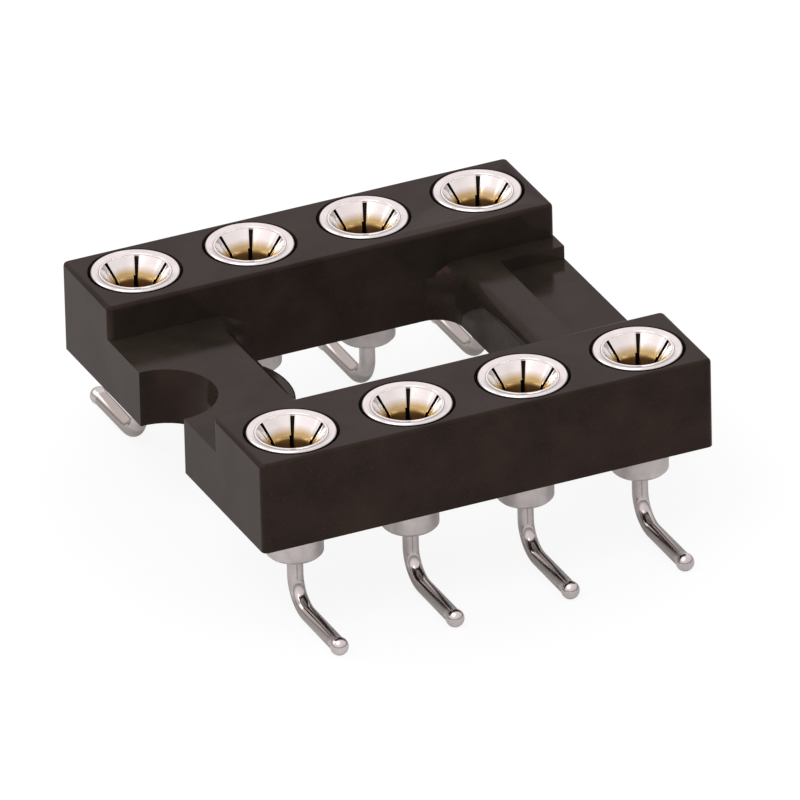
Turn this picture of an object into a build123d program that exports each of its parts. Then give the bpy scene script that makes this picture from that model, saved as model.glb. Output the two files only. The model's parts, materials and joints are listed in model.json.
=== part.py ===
from build123d import *
import os

# A dual-in-line IC socket with an open moulded frame, turned contacts and outward solder feet.
# X runs along the contact rows, Y across them, and Z is up from the circuit board.
# The origin is on the board, below the middle of the socket.

os.makedirs("parts", exist_ok=True)

# Grid of the contacts, as every dual-in-line package has it
contact_pitch = 2.54
row_spacing = 7.62
contacts_in_row = 4

# Moulded body, with the walls it leaves round the flanges of the contacts
body_height = 1.98
end_wall = 0.175
outer_wall = 0.115
inner_wall = 0.265
rim_proud = 0.03
rail_edge_radius = 0.09
body_corner_radius = 0.12

# Crossbars between the rails: one has the notch, the plain one a panel let in
notch_bar_width = 2.53
plain_bar_width = 2.37
bar_drop = 0.75
bar_edge_chamfer = 0.27
panel_drop = 0.29
panel_ledge = 0.45
panel_length = 1.45
window_corner_radius = 0.60

# Half-round notch that marks the end of contact 1, and the low oval lobe that backs it
notch_radius = 1.10
notch_depth = 1.15
lobe_reach = 0.25
lobe_semi_depth = 0.62
lobe_semi_width = 1.10
lobe_drop = 0.30
lobe_edge_radius = 0.08

# Turned contact sleeve
flange_radius = 0.915
flange_thickness = 0.30
flange_edge = 0.03
barrel_radius = 0.74
barrel_length = 1.25
collar_radius = 0.59
collar_length = 1.22
collar_edge = 0.06
mouth_radius = 0.745
mouth_depth = 0.07
funnel_depth = 0.35
bore_radius = 0.545
bore_depth = 1.42
pilot_radius = 0.42
pilot_floor = 0.47
pilot_point = 0.20

# Bent solder tail of the sleeve
tail_radius = 0.165
tail_drop = 0.50
tail_bend_radius = 0.62
tail_reach = 2.27
tip_bulge = 0.025

# Stamped six-finger clip inside the sleeve
clip_thickness = 0.06
clip_inset = 0.02
clip_ring_height = 0.05
clip_neck_radius = 0.36
clip_neck_depth = 0.68
clip_throat_radius = 0.25
clip_throat_depth = 0.98
clip_throat_length = 0.22
clip_flare = 0.04
clip_flare_length = 0.12
finger_count = 6
finger_gap = 0.10
finger_gap_angle = 65

# Clearances of the fits
press_clearance = 0.01
flange_clearance = 0.06
clip_clearance = 0.01

# Overrun of the cuts
overrun = 1.0

# Levels over the board, added up from the rounded foot of the tail to the rim of the contact
tip_radius = tail_radius + tip_bulge
foot_level = tip_radius
collar_bottom = foot_level + tail_bend_radius + tail_drop
barrel_bottom = collar_bottom + collar_length
flange_seat = barrel_bottom + barrel_length
rim_height = flange_seat + flange_thickness
body_top = rim_height - rim_proud
body_bottom = body_top - body_height
bar_top = body_top - bar_drop

# Outline of the body round the pockets that take the flanges
pocket_radius = flange_radius + flange_clearance
row_y = row_spacing / 2
body_length = contact_pitch * (contacts_in_row - 1) + 2 * (pocket_radius + end_wall)
body_width = row_spacing + 2 * (pocket_radius + outer_wall)
rail_width = 2 * pocket_radius + outer_wall + inner_wall
rail_inner_y = body_width / 2 - rail_width
window_length = body_length - notch_bar_width - plain_bar_width
window_start = notch_bar_width - body_length / 2


with BuildPart() as insulator:
    # The lobe reaches into the window behind the notch
    with BuildSketch(Plane.XY.offset(body_bottom)) as lobe:
        with Locations((window_start + lobe_reach - lobe_semi_depth, 0)):
            Ellipse(lobe_semi_depth, lobe_semi_width)
    extrude(amount=body_height - bar_drop - lobe_drop)
    fillet(insulator.faces().sort_by(Axis.Z)[-1].edges(), lobe_edge_radius)

    # Crossbars and the lower part of the rails are one ring round the window
    with BuildSketch(Plane.XY.offset(body_bottom)) as ring:
        RectangleRounded(body_length, body_width, body_corner_radius)
        with Locations((window_start + window_length / 2, 0)):
            RectangleRounded(
                window_length, 2 * rail_inner_y, window_corner_radius, mode=Mode.SUBTRACT
            )
    extrude(amount=body_height - bar_drop)
    window_rim = insulator.faces().sort_by(Axis.Z)[-1].inner_wires()[0]
    chamfer(window_rim.edges(), bar_edge_chamfer)

    # The notch opens through the end face
    with BuildSketch(Plane.XY.offset(body_bottom)) as notch:
        with Locations((notch_depth - notch_radius - body_length / 2, 0)):
            Circle(notch_radius)
    extrude(amount=body_height, mode=Mode.SUBTRACT)

    # The rails stand higher than the crossbars
    with BuildSketch(Plane.XY.offset(body_bottom)) as rails:
        with Locations((0, body_width / 2 - rail_width / 2), (0, rail_width / 2 - body_width / 2)):
            RectangleRounded(body_length, rail_width, body_corner_radius)
    extrude(amount=body_height)
    fillet(insulator.faces().sort_by(Axis.Z)[-2:].edges(), rail_edge_radius)

    # The outer part of the plain crossbar has a panel let in between two ledges
    with BuildSketch(Plane.XY.offset(bar_top)) as panel:
        with Locations((body_length / 2 - panel_length, 0)):
            Rectangle(
                panel_length + overrun,
                2 * (rail_inner_y - panel_ledge),
                align=(Align.MIN, Align.CENTER),
            )
    extrude(amount=-panel_drop, mode=Mode.SUBTRACT)

    # Stepped holes that carry the sleeves
    with Locations(Plane.XY.offset(body_top)):
        with GridLocations(contact_pitch, row_spacing, contacts_in_row, 2):
            CounterBoreHole(
                barrel_radius + press_clearance,
                pocket_radius,
                body_top - flange_seat,
                body_top - barrel_bottom,
            )
    with Locations(Plane.XY.offset(barrel_bottom)):
        with GridLocations(contact_pitch, row_spacing, contacts_in_row, 2):
            Hole(collar_radius + press_clearance)

insulator.part.label = "insulator"
export_step(insulator.part, "parts/insulator.step")


# Contacts are numbered round the body from the notch: the front row from the left, then back again
first_x = -contact_pitch * (contacts_in_row - 1) / 2
front_row = [(first_x + i * contact_pitch, -row_y) for i in range(contacts_in_row)]
back_row = [(-x, -y) for x, y in front_row]

for number, (x, y) in enumerate(front_row + back_row, start=1):
    outward = y / row_y
    # Upright plane through the contact, with its first axis pointing out of the body
    section = Plane(origin=(x, y, 0), x_dir=(0, outward, 0), z_dir=(outward, 0, 0))
    contact_axis = Axis((x, y, 0), (0, 0, 1))

    with BuildPart() as sleeve:
        with BuildSketch(section):
            with BuildLine():
                Polyline(
                    (0, collar_bottom),
                    (collar_radius - collar_edge, collar_bottom),
                    (collar_radius, collar_bottom + collar_edge),
                    (collar_radius, barrel_bottom),
                    (barrel_radius, barrel_bottom),
                    (barrel_radius, flange_seat),
                    (flange_radius, flange_seat),
                    (flange_radius, rim_height - flange_edge),
                    (flange_radius - flange_edge, rim_height),
                    (mouth_radius, rim_height),
                    (mouth_radius, rim_height - mouth_depth),
                    (bore_radius, rim_height - mouth_depth - funnel_depth),
                    (bore_radius, rim_height - bore_depth),
                    (pilot_radius, rim_height - bore_depth),
                    (pilot_radius, collar_bottom + pilot_floor),
                    (0, collar_bottom + pilot_floor - pilot_point),
                    close=True,
                )
            make_face()
        revolve(axis=contact_axis)

        # The tail goes down from the collar, bends outwards and ends in a rounded foot
        with BuildLine(section) as tail_path:
            drop = Line((0, collar_bottom + collar_edge), (0, foot_level + tail_bend_radius))
            bend = JernArc(start=drop @ 1, tangent=drop % 1, radius=tail_bend_radius, arc_size=90)
            Line(bend @ 1, bend @ 1 + (bend % 1) * (tail_reach - tail_bend_radius - tip_radius))
        with BuildSketch(Plane(origin=tail_path.line @ 0, z_dir=tail_path.line % 0)):
            Circle(tail_radius)
        sweep(path=tail_path.line)
        with Locations(tail_path.line @ 1):
            Sphere(tip_radius)

    sleeve.part.label = f"contact_sleeve_{number}"
    export_step(sleeve.part, f"parts/contact_sleeve_{number}.step")

    with BuildPart() as clip:
        with BuildSketch(section):
            ring_top = rim_height - clip_inset
            throat_top = rim_height - clip_throat_depth
            throat_bottom = throat_top - clip_throat_length
            throat_outside = clip_throat_radius + clip_thickness
            with BuildLine():
                # The outside of the wall follows the sleeve's mouth, then closes in to the throat
                wall = Polyline(
                    (mouth_radius - clip_clearance, ring_top),
                    (mouth_radius - clip_clearance, rim_height - mouth_depth),
                    (bore_radius - clip_clearance, rim_height - mouth_depth - funnel_depth),
                    (clip_neck_radius + clip_thickness, rim_height - clip_neck_depth),
                    (throat_outside, throat_top),
                    (throat_outside, throat_bottom),
                    (throat_outside + clip_flare, throat_bottom - clip_flare_length),
                )
                offset(wall, clip_thickness, side=Side.RIGHT)
            make_face()
        revolve(axis=contact_axis)

        # Slits from below the ring to the tips leave the fingers
        slit_height = clip_throat_depth + clip_throat_length
        with BuildSketch(Plane.XY.offset(ring_top - clip_ring_height)):
            with Locations((x, y)):
                with PolarLocations(flange_radius / 2, finger_count, start_angle=finger_gap_angle):
                    Rectangle(flange_radius, finger_gap)
        extrude(amount=-slit_height, mode=Mode.SUBTRACT)

    clip.part.label = f"contact_clip_{number}"
    export_step(clip.part, f"parts/contact_clip_{number}.step")
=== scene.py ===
# %% [markdown]
# An IC socket, dressed for its photograph
#
# The socket is a small frame of black plastic with eight turned contacts pressed into it. It is
# only a centimetre long, so everything here is in fractions of a millimetre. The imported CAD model
# gives every place and size. What Blender adds is what the eye reads as real: broken edges on the
# moulding, smooth turned metal, sprung gold fingers, and finishes that answer to the light.
#
# The first step brings in the CAD model as a fixed frame, and notes how large it is.

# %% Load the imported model
import json
import math

import bpy
from mathutils import Matrix, Vector

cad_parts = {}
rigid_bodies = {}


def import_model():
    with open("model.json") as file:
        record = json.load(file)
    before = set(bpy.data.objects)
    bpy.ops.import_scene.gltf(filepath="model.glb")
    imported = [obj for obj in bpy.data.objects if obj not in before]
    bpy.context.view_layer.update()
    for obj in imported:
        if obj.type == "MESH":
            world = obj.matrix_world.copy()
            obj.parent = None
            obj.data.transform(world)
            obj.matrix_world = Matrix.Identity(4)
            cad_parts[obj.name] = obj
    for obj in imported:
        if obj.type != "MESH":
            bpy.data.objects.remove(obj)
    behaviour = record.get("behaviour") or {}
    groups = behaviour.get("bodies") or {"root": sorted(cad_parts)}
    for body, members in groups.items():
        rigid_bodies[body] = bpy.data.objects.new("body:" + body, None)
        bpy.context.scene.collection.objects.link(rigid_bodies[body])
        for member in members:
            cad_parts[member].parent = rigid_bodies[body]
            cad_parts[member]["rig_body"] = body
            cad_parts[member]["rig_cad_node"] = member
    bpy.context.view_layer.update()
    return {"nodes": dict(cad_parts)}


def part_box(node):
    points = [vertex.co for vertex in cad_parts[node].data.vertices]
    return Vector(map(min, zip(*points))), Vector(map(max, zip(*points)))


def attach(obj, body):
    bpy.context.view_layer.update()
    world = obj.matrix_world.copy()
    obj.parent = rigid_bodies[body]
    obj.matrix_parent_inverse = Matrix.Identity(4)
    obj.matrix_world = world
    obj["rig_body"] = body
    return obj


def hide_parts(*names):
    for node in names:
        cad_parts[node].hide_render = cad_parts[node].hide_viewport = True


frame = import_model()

MM = 0.001
MERGE = 0.0005 * MM  # corners nearer than this become one
TOUCH = 0.001 * MM  # a corner this near a level is on it

# %% [markdown]
# Every contact is the same turned piece, so it is modelled once, standing on the vertical axis
# through the origin, and then copied to its eight places. The frame tells where these are: a
# finger clip is round, so the middle of its box is the contact's axis. The rim of a sleeve is
# the highest thing on the part, and the bottom of its foot lies on the board at zero.

# %% Measure the frame
contact_numbers = range(1, 9)
contact_axes = {}
for number in contact_numbers:
    low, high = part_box(f"contact_clip_{number}")
    contact_axes[number] = (low + high) / 2
rim_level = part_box("contact_sleeve_1")[1].z
flange_radius = (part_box("contact_sleeve_1")[1].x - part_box("contact_sleeve_1")[0].x) / 2
foot_reach = contact_axes[1].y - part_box("contact_sleeve_1")[0].y
contact_pitch = contact_axes[2].x - contact_axes[1].x
row_y = abs(contact_axes[1].y)
print("rim", round(rim_level / MM, 3), "flange", round(flange_radius / MM, 3),
      "reach", round(foot_reach / MM, 3), "pitch", round(contact_pitch / MM, 3))

# %% [markdown]
# Blender's operators act on whatever is selected, as they do under the hand. These helpers
# keep that in order: one clears the selection, one selects the edges or faces that pass a test
# of their place, one starts an open tube, and one stacks new rings on it. A ring is what a lathe
# or a drawing die makes, so nearly all of a contact can be said as a list of rings.

# %% Helpers for modelling by hand
def deselect_all():
    """Back to object mode with nothing selected."""
    if bpy.context.object and bpy.context.object.mode != "OBJECT":
        bpy.ops.object.mode_set(mode="OBJECT")
    bpy.ops.object.select_all(action="DESELECT")


def select_parts(test, kind="EDGE"):
    """In edit mode, select the edges or faces whose every corner passes the test."""
    piece = bpy.context.object
    bpy.ops.mesh.select_mode(type=kind)
    bpy.ops.mesh.select_all(action="DESELECT")
    bpy.ops.object.mode_set(mode="OBJECT")
    mesh = piece.data
    for part in mesh.edges if kind == "EDGE" else mesh.polygons:
        part.select = all(test(mesh.vertices[v].co) for v in part.vertices)
    bpy.ops.object.mode_set(mode="EDIT")


def start_tube(name, steps, radius, height):
    """A new object that is one open ring about the vertical axis, in edit mode and selected."""
    deselect_all()
    bpy.ops.mesh.primitive_circle_add(vertices=steps, radius=radius, location=(0, 0, height))
    bpy.ops.object.transform_apply(location=True, rotation=True, scale=True)
    bpy.context.object.name = name
    bpy.ops.object.mode_set(mode="EDIT")
    bpy.ops.mesh.select_all(action="SELECT")
    return bpy.context.object


def next_ring(shift, share, centre):
    """Extrude the selected ring by shift, then shrink or grow it about its centre."""
    bpy.ops.mesh.extrude_edges_move(TRANSFORM_OT_translate={"value": shift})
    bpy.ops.transform.resize(value=(share, share, share), center_override=centre)


def stack_rings(rings):
    """Carry on the selected ring through (radius, height) pairs; the first one is where it is."""
    for (radius, height), (new_radius, new_height) in zip(rings, rings[1:]):
        next_ring((0, 0, new_height - height), new_radius / radius, (0, 0, new_height))


def apply_modifier(piece, kind, **settings):
    """Add a modifier with these settings and apply it."""
    deselect_all()
    bpy.context.view_layer.objects.active = piece
    piece.select_set(True)
    modifier = piece.modifiers.new(kind.title(), kind)
    for name, value in settings.items():
        setattr(modifier, name, value)
    bpy.ops.object.modifier_apply(modifier=modifier.name)


def smooth_shade(piece, degrees):
    """Smooth shading, broken where two faces meet at more than this angle."""
    deselect_all()
    bpy.context.view_layer.objects.active = piece
    piece.select_set(True)
    bpy.ops.object.shade_smooth_by_angle(angle=math.radians(degrees))


def describe(piece):
    """Print a piece's size and number of faces."""
    sides = [round(side / MM, 3) for side in piece.dimensions]
    print(piece.name, "size in mm", sides, "faces", len(piece.data.polygons))


# %% [markdown]
# The sleeve is turned from brass bar and tinned. Its flange sits in a pocket in the body, its
# barrel grips the hole, and a thinner collar comes out below. On a lathe this is one profile
# spun round, and here it is one tube grown ring by ring: up the outside, over the rim, and
# down into the bore. The first ring is the wire of the solder tail where it leaves the collar.
# The flat of the rim is dished a little towards the mouth, so it mirrors the light as one band.

# %% The turned sleeve
TURN_STEPS = 64
tail_radius = 0.165 * MM
collar_bottom = 1.31 * MM
collar_radius = 0.59 * MM
collar_edge = 0.06 * MM
barrel_bottom = 2.53 * MM
barrel_radius = 0.74 * MM
flange_seat = rim_level - 0.30 * MM
flange_edge = 0.03 * MM
rim_dish = 0.025 * MM
mouth_radius = 0.745 * MM
mouth_level = rim_level - 0.07 * MM
bore_radius = 0.545 * MM
bore_top = mouth_level - 0.35 * MM
bore_bottom = rim_level - 1.42 * MM
pilot_radius = 0.42 * MM
pilot_bottom = collar_bottom + 0.47 * MM
point_radius = 0.02 * MM
point_drop = 0.20 * MM

sleeve = start_tube("turned_sleeve", TURN_STEPS, tail_radius, collar_bottom)
stack_rings([
    (tail_radius, collar_bottom),
    (collar_radius - collar_edge, collar_bottom),
    (collar_radius, collar_bottom + collar_edge),
    (collar_radius, barrel_bottom),
    (barrel_radius, barrel_bottom),
    (barrel_radius, flange_seat),
    (flange_radius, flange_seat),
    (flange_radius, rim_level - flange_edge),
    (flange_radius - flange_edge, rim_level),
    (mouth_radius, rim_level - rim_dish),
    (mouth_radius, mouth_level),
    (bore_radius, bore_top),
    (bore_radius, bore_bottom),
    (pilot_radius, bore_bottom),
    (pilot_radius, pilot_bottom),
    (point_radius, pilot_bottom - point_drop),
])
bpy.ops.mesh.edge_face_add()
describe(sleeve)

# %% [markdown]
# The solder tail drops from the collar, bends outwards on a former and ends in a small ball,
# where the wire was rounded off. The open ring at the collar is extruded down, spun a quarter
# turn about the former's centre, and drawn out flat. The ball is more rings, whose radius
# follows a circle.

# %% The bent tail and its ball end
BEND_STEPS = 14
BALL_STEPS = 10
ball_radius = 0.19 * MM
bend_radius = 0.62 * MM
foot_level = ball_radius
bend_top = foot_level + bend_radius
neck = math.sqrt(ball_radius ** 2 - tail_radius ** 2)
ball_centre_y = -(foot_reach - ball_radius)

select_parts(lambda co: co.xy.length < tail_radius + TOUCH and abs(co.z - collar_bottom) < TOUCH)
next_ring((0, 0, bend_top - collar_bottom), 1, (0, 0, bend_top))
bpy.ops.mesh.spin(
    steps=BEND_STEPS,
    angle=math.radians(90),
    center=(0, -bend_radius, bend_top),
    axis=(1, 0, 0),
)
straight = ball_centre_y + neck + bend_radius
next_ring((0, straight, 0), 1, (0, ball_centre_y + neck, foot_level))
last_y, last_radius = ball_centre_y + neck, tail_radius
start_angle = math.asin(tail_radius / ball_radius)
for step in range(1, BALL_STEPS):
    angle = start_angle + (math.pi - start_angle) * step / BALL_STEPS
    new_y = ball_centre_y + ball_radius * math.cos(angle)
    new_radius = ball_radius * math.sin(angle)
    next_ring((0, new_y - last_y, 0), new_radius / last_radius, (0, new_y, foot_level))
    last_y, last_radius = new_y, new_radius
bpy.ops.mesh.edge_face_add()
describe(sleeve)

# %% Round the sleeve's edges and set its normals outwards
EDGE_ROUND = 0.012 * MM
bpy.ops.mesh.select_all(action="SELECT")
bpy.ops.mesh.remove_doubles(threshold=MERGE)
bpy.ops.mesh.normals_make_consistent(inside=False)
deselect_all()
apply_modifier(sleeve, "BEVEL", width=EDGE_ROUND, segments=3, limit_method="ANGLE",
               angle_limit=math.radians(28), use_clamp_overlap=True)
smooth_shade(sleeve, 35)
describe(sleeve)
print("foot reaches", round(min(v.co.y for v in sleeve.data.vertices) / MM, 3), "mm from the axis")

# %% [markdown]
# Inside each sleeve sits a clip, stamped from thin spring metal and plated with gold. Six
# fingers lean in from a ring, and make the bright funnel that the lead of the circuit slides
# down. A thin wall is easiest as a bare sheet first: its outside is turned as before, planes
# cut it along both sides of each slit, and the strips between them are deleted. A strip runs
# right across the axis, so three strips make all six slits. Solidify then gives the sheet its
# thickness. A ring close under the mouth's edge keeps the turn of the shading within a narrow
# band, so the long walls of the fingers look straight.

# %% The wall of the finger clip
CLIP_STEPS = 96
wall = 0.035 * MM
clip_gap = 0.004 * MM
clip_top = rim_level - rim_dish - 0.002 * MM
ring_bottom = rim_level - 0.045 * MM
knee_radius = 0.46 * MM
knee_level = rim_level - 0.43 * MM
neck_radius = 0.40 * MM
neck_level = rim_level - 0.70 * MM
throat_radius = 0.31 * MM
throat_top = rim_level - 0.98 * MM
throat_bottom = throat_top - 0.22 * MM
flare_radius = 0.35 * MM
flare_bottom = throat_bottom - 0.12 * MM

ring_radius = mouth_radius - clip_gap
edge_strip = 0.05
strip_radius = (1 - edge_strip) * ring_radius + edge_strip * knee_radius
strip_level = (1 - edge_strip) * ring_bottom + edge_strip * knee_level
clip = start_tube("finger_clip", CLIP_STEPS, ring_radius, clip_top)
stack_rings([
    (ring_radius, clip_top),
    (ring_radius, ring_bottom),
    (strip_radius, strip_level),
    (knee_radius, knee_level),
    (neck_radius, neck_level),
    (throat_radius, throat_top),
    (throat_radius, throat_bottom),
    (flare_radius, flare_bottom),
])
bend_widths = {
    knee_level: 0.05 * MM,
    neck_level: 0.10 * MM,
    throat_top: 0.08 * MM,
    throat_bottom: 0.03 * MM,
}
for level, width in bend_widths.items():
    select_parts(lambda co: abs(co.z - level) < TOUCH)
    bpy.ops.mesh.bevel(offset=width, segments=4, affect="EDGES")
describe(clip)

# %% Cut the slits between the fingers
CLIP_ROUND = 0.007 * MM
slit_width = 0.13 * MM
slit_angles = [math.radians(angle) for angle in (65, 125, 185)]
slit_normals = [Vector((-math.sin(angle), math.cos(angle), 0)) for angle in slit_angles]
for across in slit_normals:
    for side in (-1, 1):
        bpy.ops.mesh.select_all(action="SELECT")
        bpy.ops.mesh.bisect(plane_co=across * side * slit_width / 2, plane_no=across)
half_width = slit_width * 0.501  # a hair more than half, so that the cut edges count as within
for across in slit_normals:
    select_parts(
        lambda co: abs(co.dot(across)) < half_width and co.z < ring_bottom + TOUCH, "FACE")
    bpy.ops.mesh.delete(type="FACE")
bpy.ops.mesh.select_all(action="SELECT")
bpy.ops.mesh.remove_doubles(threshold=MERGE)
bpy.ops.mesh.normals_make_consistent(inside=False)
deselect_all()
apply_modifier(clip, "SOLIDIFY", thickness=wall, offset=-1, use_even_offset=True)
apply_modifier(clip, "BEVEL", width=CLIP_ROUND, segments=2, limit_method="ANGLE",
               angle_limit=math.radians(50), use_clamp_overlap=True)
smooth_shade(clip, 40)
describe(clip)

# %% [markdown]
# The body came out of a mould, so its walls are flat and its edges only look sharp: each one
# is rounded by a few hundredths of a millimetre, and that thin round is what catches light.
# The CAD shape is right in everything else. So a copy of its mesh is merged, its flat
# triangles are dissolved into whole faces, and the edges are bevelled. Weighted normals let the
# large flats decide the shading, so they stay flat right up to the rounds.

# %% The moulded body
BODY_ROUND = 0.035 * MM
deselect_all()
cad_body = frame["nodes"]["insulator"]
cad_body.select_set(True)
bpy.context.view_layer.objects.active = cad_body
bpy.ops.object.duplicate()
body = bpy.context.object
body.name = "moulded_body"
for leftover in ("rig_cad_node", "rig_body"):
    if leftover in body:
        del body[leftover]
body.parent = None
bpy.ops.object.mode_set(mode="EDIT")
bpy.ops.mesh.select_all(action="SELECT")
bpy.ops.mesh.customdata_custom_splitnormals_clear()
bpy.ops.mesh.remove_doubles(threshold=MERGE)
bpy.ops.mesh.dissolve_limited(angle_limit=math.radians(1))
deselect_all()
describe(body)
apply_modifier(body, "BEVEL", width=BODY_ROUND, segments=3, limit_method="ANGLE",
               angle_limit=math.radians(50), use_clamp_overlap=True)
smooth_shade(body, 50)
apply_modifier(body, "WEIGHTED_NORMAL", keep_sharp=True, weight=80, thresh=0.0)
describe(body)

# %% [markdown]
# Each finished contact goes to its place. The front row keeps the way it was modelled, with
# its foot towards the viewer, and the back row is turned half round. Every copy has its own
# mesh, its transform is applied, and it stands for the CAD node of the same number.

# %% Set the contacts in the body
def set_in_place(pattern, name, number, node):
    """Copy a pattern piece to contact number's axis, in place of its CAD node."""
    deselect_all()
    piece = pattern.copy()
    piece.data = pattern.data.copy()
    piece.name = name
    bpy.context.scene.collection.objects.link(piece)
    axis = contact_axes[number]
    turned = math.pi if axis.y > 0 else 0
    piece.matrix_world = Matrix.Translation((axis.x, axis.y, 0)) @ Matrix.Rotation(turned, 4, "Z")
    piece.select_set(True)
    bpy.context.view_layer.objects.active = piece
    bpy.ops.object.transform_apply(location=True, rotation=True, scale=True)
    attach(piece, "root")
    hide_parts(node)
    return piece


sleeves = [
    set_in_place(sleeve, f"turned_sleeve_{n}", n, f"contact_sleeve_{n}")
    for n in contact_numbers
]
clips = [
    set_in_place(clip, f"finger_clip_{n}", n, f"contact_clip_{n}")
    for n in contact_numbers
]
for pattern in (sleeve, clip):
    bpy.data.objects.remove(pattern)
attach(body, "root")
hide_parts("insulator")
print("placed", len(sleeves), "sleeves and", len(clips), "clips")

# %% [markdown]
# Finishes are node networks. Two effects are used by more than one of them, so each is a node
# group with named inputs: a fine grain, and the faint rings that a turning tool leaves. Both
# read Object coordinates, which here are metres in the part's own frame.

# %% Helpers for node networks
def new_group(name, inputs, outputs):
    """An empty shader node group with these float inputs {name: value} and output names."""
    group = bpy.data.node_groups.new(name, "ShaderNodeTree")
    for label, value in inputs.items():
        socket = group.interface.new_socket(label, in_out="INPUT", socket_type="NodeSocketFloat")
        socket.default_value = value
    for label in outputs:
        group.interface.new_socket(label, in_out="OUTPUT", socket_type="NodeSocketFloat")
    return group, group.nodes.new("NodeGroupInput"), group.nodes.new("NodeGroupOutput")


def add_math(tree, operation, first, second=None, third=None):
    """A Math node whose inputs are sockets or plain numbers; returns its output."""
    node = tree.nodes.new("ShaderNodeMath")
    node.operation = operation
    for socket, value in zip(node.inputs, (first, second, third)):
        if isinstance(value, bpy.types.NodeSocket):
            tree.links.new(value, socket)
        elif value is not None:
            socket.default_value = value
    return node.outputs[0]


def add_noise(tree, scale, detail=2.0, roughness=0.5):
    """Noise on Object coordinates; scale is a number or a socket, in features per metre."""
    place = tree.nodes.new("ShaderNodeTexCoord")
    noise = tree.nodes.new("ShaderNodeTexNoise")
    tree.links.new(place.outputs["Object"], noise.inputs["Vector"])
    if isinstance(scale, bpy.types.NodeSocket):
        tree.links.new(scale, noise.inputs["Scale"])
    else:
        noise.inputs["Scale"].default_value = scale
    noise.inputs["Detail"].default_value = detail
    noise.inputs["Roughness"].default_value = roughness
    return noise.outputs["Fac"]


def spread(tree, value, low, high, to_low=0.0, to_high=1.0):
    """Map Range, clamped: where value goes from low to high the result goes to_low to to_high."""
    node = tree.nodes.new("ShaderNodeMapRange")
    tree.links.new(value, node.inputs["Value"])
    limits = {"From Min": low, "From Max": high, "To Min": to_low, "To Max": to_high}
    for label, number in limits.items():
        node.inputs[label].default_value = number
    return node.outputs["Result"]


def mix_colours(tree, share, first, second):
    """A Mix node for colour; first and second are colours or sockets."""
    node = tree.nodes.new("ShaderNodeMix")
    node.data_type = "RGBA"
    tree.links.new(share, node.inputs["Factor"])
    for socket, colour in ((node.inputs["A"], first), (node.inputs["B"], second)):
        if isinstance(colour, bpy.types.NodeSocket):
            tree.links.new(colour, socket)
        else:
            socket.default_value = (*colour, 1)
    return node.outputs["Result"]


def add_bump(tree, height, strength, distance):
    """A Bump node on this height; distance is the real depth in metres."""
    node = tree.nodes.new("ShaderNodeBump")
    tree.links.new(height, node.inputs["Height"])
    node.inputs["Strength"].default_value = strength
    node.inputs["Distance"].default_value = distance
    return node.outputs["Normal"]


def new_material(name, **settings):
    """A material with its Principled shader's own sockets set; returns it, its tree and shader."""
    material = bpy.data.materials.new(name)
    material.use_nodes = True
    shader = material.node_tree.nodes["Principled BSDF"]
    for label, value in settings.items():
        shader.inputs[label.replace("_", " ")].default_value = value
    return material, material.node_tree, shader


def dress(pieces, material):
    """Give each piece this material and no other."""
    for piece in pieces:
        piece.data.materials.clear()
        piece.data.materials.append(material)
    print(material.name, "on", len(pieces), "pieces")


# %% The grain group
grain_group, grain_in, grain_out = new_group(
    "surface_grain",
    {"Grains per metre": 20000.0, "Patches per metre": 900.0},
    ["Grain", "Patches"],
)
fine = add_noise(grain_group, grain_in.outputs["Grains per metre"], detail=3.0, roughness=0.6)
broad = add_noise(grain_group, grain_in.outputs["Patches per metre"], detail=4.0, roughness=0.55)
grain_group.links.new(fine, grain_out.inputs["Grain"])
grain_group.links.new(spread(grain_group, broad, 0.3, 0.7), grain_out.inputs["Patches"])
print("made group", grain_group.name)

# %% [markdown]
# A turning tool leaves fine rings about the contact's axis. All eight contacts share one
# material, so the group first finds how far a point is from the nearest axis. Along a row the
# axes repeat at the pitch, and the two rows mirror each other. A sine of that distance plus
# the height then gives rings on flat flanges and on round barrels alike.

# %% The turning lines group
turn_group, turn_in, turn_out = new_group(
    "turning_lines", {"Line spacing": 0.03 * MM}, ["Lines", "Axis distance", "Height"])
turn_place = turn_group.nodes.new("ShaderNodeTexCoord")
split = turn_group.nodes.new("ShaderNodeSeparateXYZ")
turn_group.links.new(turn_place.outputs["Object"], split.inputs[0])
along = add_math(turn_group, "WRAP", split.outputs["X"], contact_pitch, 0.0)
along = add_math(turn_group, "SUBTRACT", along, contact_pitch / 2)
across_rows = add_math(turn_group, "ABSOLUTE", split.outputs["Y"])
across_rows = add_math(turn_group, "SUBTRACT", across_rows, row_y)
squares = [add_math(turn_group, "MULTIPLY", side, side) for side in (along, across_rows)]
from_axis = add_math(turn_group, "SQRT", add_math(turn_group, "ADD", *squares))
path_length = add_math(turn_group, "ADD", from_axis, split.outputs["Z"])
turns = add_math(turn_group, "DIVIDE", path_length, turn_in.outputs["Line spacing"])
lines = add_math(turn_group, "SINE", add_math(turn_group, "MULTIPLY", turns, 2 * math.pi))
turn_group.links.new(lines, turn_out.inputs["Lines"])
turn_group.links.new(from_axis, turn_out.inputs["Axis distance"])
turn_group.links.new(split.outputs["Z"], turn_out.inputs["Height"])
print("made group", turn_group.name)


def use_group(tree, group, **values):
    """Place a group in a tree with its own input values."""
    node = tree.nodes.new("ShaderNodeGroup")
    node.node_tree = group
    for label, value in values.items():
        node.inputs[label.replace("_", " ")].default_value = value
    return node


# %% [markdown]
# The body is black thermoplastic filled with short glass fibres. It looks brown-black where it
# faces the viewer and a dusty pink-grey where it mirrors the bright room at a slant. That is
# plain Fresnel gloss with a rose tint, so the shader does it by itself. The nodes add what the
# mould and the filler leave: slow patches in colour and gloss, and a fine grain in the surface.

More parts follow.
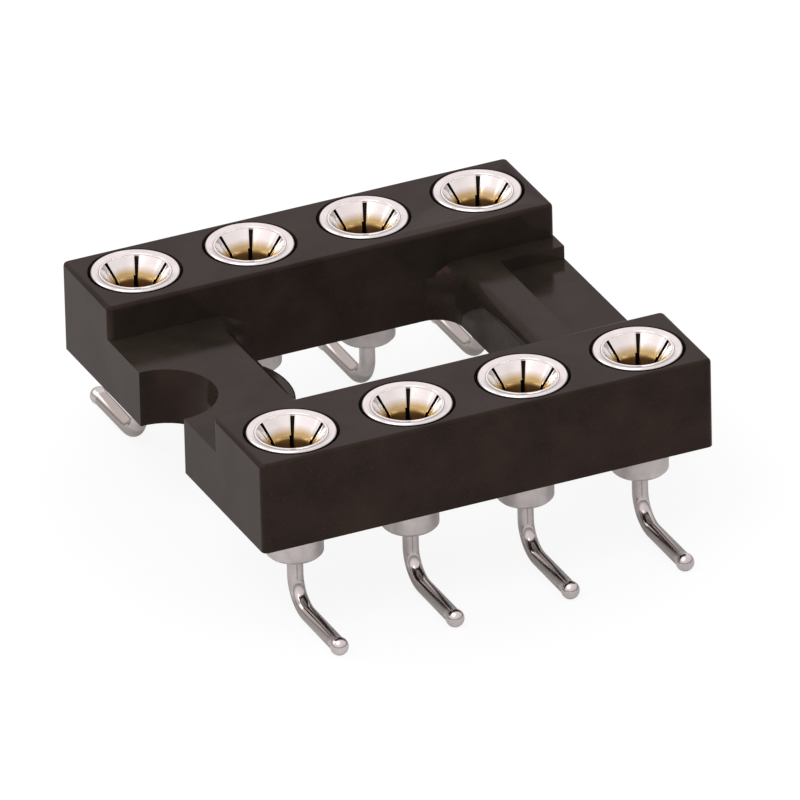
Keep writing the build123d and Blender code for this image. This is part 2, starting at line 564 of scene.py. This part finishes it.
# %% The black moulded plastic
plastic, tree, shader = new_material(
    "black_moulded_plastic", IOR=1.205, Specular_Tint=(1.0, 0.50, 0.58, 1.0))
grain = use_group(tree, grain_group, Grains_per_metre=26000.0, Patches_per_metre=1100.0)
dark = (0.023, 0.018, 0.014)
pale = (0.038, 0.029, 0.0225)
speck = (0.048, 0.037, 0.030)
base = mix_colours(tree, grain.outputs["Patches"], dark, pale)
specks = spread(tree, grain.outputs["Grain"], 0.60, 0.72)
base = mix_colours(tree, specks, base, speck)
tree.links.new(base, shader.inputs["Base Color"])
polish = spread(tree, grain.outputs["Patches"], 0.0, 1.0, 0.09, 0.17)
tree.links.new(polish, shader.inputs["Roughness"])
tree.links.new(add_bump(tree, grain.outputs["Grain"], 0.25, 0.002 * MM), shader.inputs["Normal"])
dress([body], plastic)

# %% [markdown]
# Tin plate is a plain bright metal, and what makes it look real is where it differs. The rim is
# the brightest. The leads are painted a darker grey, and the foot darker still: a painted dark
# reflection of the dark surroundings and the black body that they mirror.
# The collar keeps a satin finish from the lathe. Inside the sleeve, the wall behind the slits of
# the clip is painted nearly black and made rougher, a painted shade for the hollow of the bore.
# Masks of height and distance from the axis say where each of these begins.

# %% The tinned brass of the sleeves: its colour
tin, tree, shader = new_material("bright_tin_plate", Metallic=1.0)
turned = use_group(tree, turn_group, Line_spacing=0.035 * MM)
grain = use_group(tree, grain_group, Grains_per_metre=30000.0, Patches_per_metre=2600.0)
height, off_axis = turned.outputs["Height"], turned.outputs["Axis distance"]
patches = grain.outputs["Patches"]

rim_tin = mix_colours(tree, patches, (0.80, 0.78, 0.77), (0.92, 0.90, 0.89))
# Painted dark reflection: the leads are painted greyer than the rim, for the dark surroundings they
# mirror.
lead_tin_painted_dark = mix_colours(tree, patches, (0.58, 0.55, 0.54), (0.76, 0.725, 0.71))
foot_top = 2 * ball_radius
low_down = spread(tree, height, foot_top + 0.08 * MM, foot_top - 0.02 * MM)
ball_start, ball_end = foot_reach - 2.1 * ball_radius, foot_reach - 1.8 * ball_radius
before_ball = spread(tree, off_axis, ball_end, ball_start)
# Painted dark reflection along the foot up to the ball, where it mirrors the black body.
painted_dark_foot = add_math(tree, "MULTIPLY", low_down, before_ball)
lead_tin_painted_dark = mix_colours(tree, painted_dark_foot, lead_tin_painted_dark, (0.47, 0.44, 0.41))
on_lead = add_math(tree, "LESS_THAN", height, flange_seat)
base = mix_colours(tree, on_lead, rim_tin, lead_tin_painted_dark)

# Painted shade: the bore wall behind the slits of the clip is painted nearly black.
collar_wall = 0.565 * MM
barrel_wall = 0.739 * MM
wall_side = spread(
    tree, height, barrel_bottom, barrel_bottom + 0.02 * MM, collar_wall, barrel_wall)
within = add_math(tree, "LESS_THAN", off_axis, wall_side)
above_floor = spread(tree, height, collar_bottom + 0.10 * MM, collar_bottom + 0.12 * MM)
inside = add_math(tree, "MULTIPLY", within, above_floor)
base = mix_colours(tree, inside, base, (0.020, 0.014, 0.010))
tree.links.new(base, shader.inputs["Base Color"])

# %% The tinned brass of the sleeves: its gloss and turning lines
polish = spread(tree, patches, 0.0, 1.0, 0.20, 0.10)
on_collar = add_math(tree, "LESS_THAN", height, barrel_bottom)
near_collar = add_math(tree, "LESS_THAN", off_axis, collar_radius + 0.01 * MM)
over_tail = add_math(tree, "GREATER_THAN", height, collar_bottom - 0.01 * MM)
satin = add_math(tree, "MULTIPLY", add_math(tree, "MULTIPLY", on_collar, near_collar), over_tail)
polish = add_math(tree, "MULTIPLY_ADD", satin, 0.20, polish)
# The same painted-shade mask also makes the bore rougher.
polish = add_math(tree, "MAXIMUM", polish, add_math(tree, "MULTIPLY", inside, 0.6))
tree.links.new(polish, shader.inputs["Roughness"])
surface = add_math(tree, "MULTIPLY_ADD", turned.outputs["Lines"], 0.35, grain.outputs["Grain"])
tree.links.new(add_bump(tree, surface, 0.22, 0.0012 * MM), shader.inputs["Normal"])
dress(sleeves, tin)

# %% [markdown]
# The clips are plated with gold over nickel. Their colour runs from nearly white at the wide mouth
# to a darker gold down in the funnel, a painted reflection of gold mirrored in gold. Below the knee
# it is painted dark brown, a painted shade for the deep throat, and it is rougher there. The height
# of a point below the rim sets where the darker gold begins, and slow noise makes the border
# wander.

# %% The gold plate of the finger clips
gold, tree, shader = new_material("gold_plate_over_nickel", Metallic=1.0)
turned = use_group(tree, turn_group)
grain = use_group(tree, grain_group, Grains_per_metre=30000.0, Patches_per_metre=3200.0)
height, patches = turned.outputs["Height"], grain.outputs["Patches"]

# Painted reflection: deeper in the funnel the colour goes from nearly white to a darker gold, for
# gold mirrored in gold.
depth = spread(tree, height, rim_level - 0.20 * MM, rim_level - 0.34 * MM)
wander = add_math(tree, "MULTIPLY_ADD", patches, 0.24, -0.12)
share = spread(tree, add_math(tree, "ADD", depth, wander), 0.0, 1.0)
base = mix_colours(tree, share, (0.97, 0.96, 0.93), (0.58, 0.42, 0.18))
# Painted shade: below the knee the throat is painted dark brown.
painted_throat_shade = spread(tree, height, knee_level + 0.06 * MM, knee_level - 0.02 * MM)
base = mix_colours(tree, painted_throat_shade, base, (0.22, 0.13, 0.050))
tree.links.new(base, shader.inputs["Base Color"])

polish = spread(tree, patches, 0.0, 1.0, 0.08, 0.15)
polish = add_math(tree, "MULTIPLY_ADD", painted_throat_shade, 0.35, polish)
tree.links.new(polish, shader.inputs["Roughness"])
tree.links.new(add_bump(tree, grain.outputs["Grain"], 0.15, 0.001 * MM), shader.inputs["Normal"])
dress(clips, gold)

# %% [markdown]
# The photograph shows the socket on pure white, seen from the left and above through a long
# lens. The camera stands where a fit of the eight contact rims puts it. Its distance and its
# long lens give nearly parallel lines, as in the photograph.

# %% The camera
azimuth = math.radians(-24.04)
elevation = math.radians(28.38)
roll = math.radians(-1.45)
distance = 400 * MM
aim_right = 0.298 * MM
aim_up = -1.844 * MM
focal_pixels = 19884
picture_pixels = 800
sensor_width = 36

back = Vector((
    math.sin(azimuth) * math.cos(elevation),
    -math.cos(azimuth) * math.cos(elevation),
    math.sin(elevation),
))
level_right = Vector((math.cos(azimuth), math.sin(azimuth), 0))
level_up = back.cross(level_right)
right = math.cos(roll) * level_right + math.sin(roll) * level_up
up = -math.sin(roll) * level_right + math.cos(roll) * level_up
rim_centre = Vector((0, 0, rim_level))

camera_data = bpy.data.cameras.new("camera")
camera_data.sensor_width = sensor_width
camera_data.lens = focal_pixels / picture_pixels * sensor_width
camera_data.clip_start = distance / 10
camera_data.clip_end = distance * 10
camera = bpy.data.objects.new("camera", camera_data)
bpy.context.scene.collection.objects.link(camera)
place = rim_centre + aim_right * right + aim_up * up + distance * back
turn = Matrix((right, up, back)).transposed().to_4x4()
camera.matrix_world = Matrix.Translation(place) @ turn
bpy.context.scene.camera = camera
print("lens", round(camera_data.lens, 1), "mm at", [round(c / MM, 1) for c in place], "mm")

# %% [markdown]
# The floor is a pale sheet with a faint rose cast, wide enough to fill any view. Near the socket
# it takes a soft shadow. Further out, and in the world behind it, what the camera sees goes over
# to plain white, so no horizon shows. Glossy surfaces see only a share of that white, because
# the shaded paper below is what the leads mirror.

# %% The floor
floor_half = 300 * MM
sweep_start = 6 * MM
sweep_end = 14 * MM
shadow_share = 0.16
mirrored_share = 0.2
white_strength = 1.06
deselect_all()
bpy.ops.mesh.primitive_plane_add(size=2 * floor_half, location=(0, 0, 0))
floor = bpy.context.object
floor.name = "floor"
paper = bpy.data.materials.new("floor_paper")
paper.use_nodes = True
tree = paper.node_tree
shader = tree.nodes["Principled BSDF"]
shader.inputs["Base Color"].default_value = (0.86, 0.80, 0.805, 1)
shader.inputs["Roughness"].default_value = 0.9
shader.inputs["Specular IOR Level"].default_value = 0.0
white = tree.nodes.new("ShaderNodeEmission")
white.inputs["Strength"].default_value = white_strength
mixer = tree.nodes.new("ShaderNodeMixShader")
rays = tree.nodes.new("ShaderNodeLightPath")
spot = tree.nodes.new("ShaderNodeTexCoord")
reach = tree.nodes.new("ShaderNodeVectorMath")
reach.operation = "LENGTH"
tree.links.new(spot.outputs["Object"], reach.inputs[0])
sweep = spread(tree, reach.outputs["Value"], sweep_start, sweep_end, 1 - shadow_share, 1.0)
mirrored = add_math(tree, "MULTIPLY", rays.outputs["Is Glossy Ray"], mirrored_share)
seen = add_math(tree, "MAXIMUM", rays.outputs["Is Camera Ray"], mirrored)
tree.links.new(add_math(tree, "MULTIPLY", seen, sweep), mixer.inputs["Fac"])
tree.links.new(shader.outputs["BSDF"], mixer.inputs[1])
tree.links.new(white.outputs["Emission"], mixer.inputs[2])
tree.links.new(mixer.outputs["Shader"], tree.nodes["Material Output"].inputs["Surface"])
floor.data.materials.append(paper)
print("floor", 2 * floor_half, "m square")

# %% [markdown]
# The room is an even white. What the metal and the plastic mirror of it is shaped a little: it is
# bright from above, falls off towards the horizon and towards the front right, and has a faint
# rose cast, as the reflections in the photograph do. Two large softboxes give the light its
# direction, one from above on the front left, and one from behind on the left.

# %% The world
fill_strength = 0.60
rose_light = (1.0, 0.91, 0.925)
world = bpy.data.worlds.new("white_room")
bpy.context.scene.world = world
world.use_nodes = True
tree = world.node_tree
room = tree.nodes["Background"]
rays = tree.nodes.new("ShaderNodeLightPath")
seen_direct, seen_mirrored = rays.outputs["Is Camera Ray"], rays.outputs["Is Glossy Ray"]
heading = tree.nodes.new("ShaderNodeTexCoord")
parts = tree.nodes.new("ShaderNodeSeparateXYZ")
tree.links.new(heading.outputs["Generated"], parts.inputs[0])
towards_front_right = add_math(tree, "SUBTRACT", parts.outputs["X"], parts.outputs["Y"])
from_left = spread(tree, towards_front_right, 0.3, 1.2, 1.0, 0.82)
from_above = spread(tree, parts.outputs["Z"], 0.10, 0.38, 0.35, 1.0)
mirrored = add_math(tree, "MULTIPLY", from_left, from_above)
light = add_math(tree, "MULTIPLY_ADD", seen_direct, 1 - fill_strength, fill_strength)
change = add_math(tree, "SUBTRACT", mirrored, fill_strength)
light = add_math(tree, "MULTIPLY_ADD", seen_mirrored, change, light)
tree.links.new(light, room.inputs["Strength"])
tree.links.new(mix_colours(tree, seen_mirrored, (1, 1, 1), rose_light), room.inputs["Color"])
print("made world", world.name)


# %% The lamps
def add_softbox(name, direction, away, size, power):
    """A square area lamp that looks at the socket from this direction."""
    lamp = bpy.data.lights.new(name, "AREA")
    lamp.size = size
    lamp.energy = power
    box = bpy.data.objects.new(name, lamp)
    bpy.context.scene.collection.objects.link(box)
    spot = Vector(direction).normalized() * away
    box.matrix_world = Matrix.Translation(spot) @ spot.to_track_quat("Z", "Y").to_matrix().to_4x4()


add_softbox("key_softbox", (-0.45, -0.25, 1.0), 120 * MM, 80 * MM, 0.035)
add_softbox("back_softbox", (-0.9, 0.7, 0.9), 140 * MM, 60 * MM, 0.02)
bpy.context.scene.view_settings.view_transform = "Standard"
